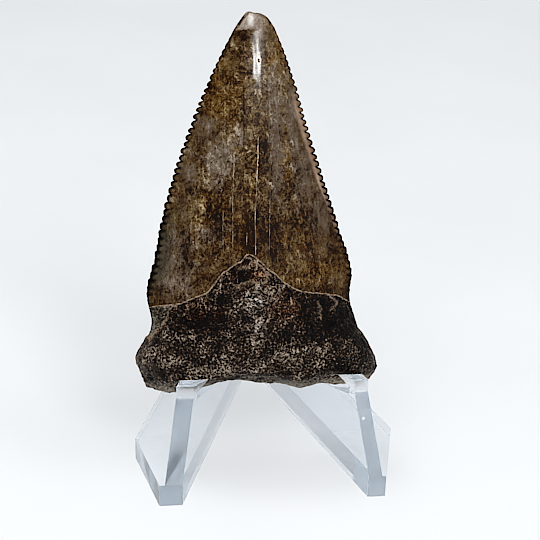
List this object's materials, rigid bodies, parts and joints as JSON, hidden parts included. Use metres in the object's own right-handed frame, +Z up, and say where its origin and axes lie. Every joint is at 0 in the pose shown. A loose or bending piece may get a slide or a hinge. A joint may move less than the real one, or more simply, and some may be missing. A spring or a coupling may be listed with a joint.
{
  "type": "fossil shark tooth on display stand",
  "caption": "Serrated triangular fossil shark tooth with a dark speckled root, leaning upright on a clear moulded easel stand.",
  "frame": {"origin": "middle of the bounding box at ground level, under the stand", "axes": "+Z up, -Y towards the stand's feet and the tooth's bulging front, +X to the viewer's right"},
  "size_m": [0.035, 0.036, 0.0574],
  "materials": {
    "fossil_enamel": "glossy mottled brown fossil enamel over a dull near-black root with fine tan specks",
    "clear_acrylic": "clear colourless moulded acrylic with polished faces"
  },
  "bodies": {
    "root": {"fossil_tooth": "fossil_enamel", "display_stand": "clear_acrylic"}
  },
  "joints": []
}
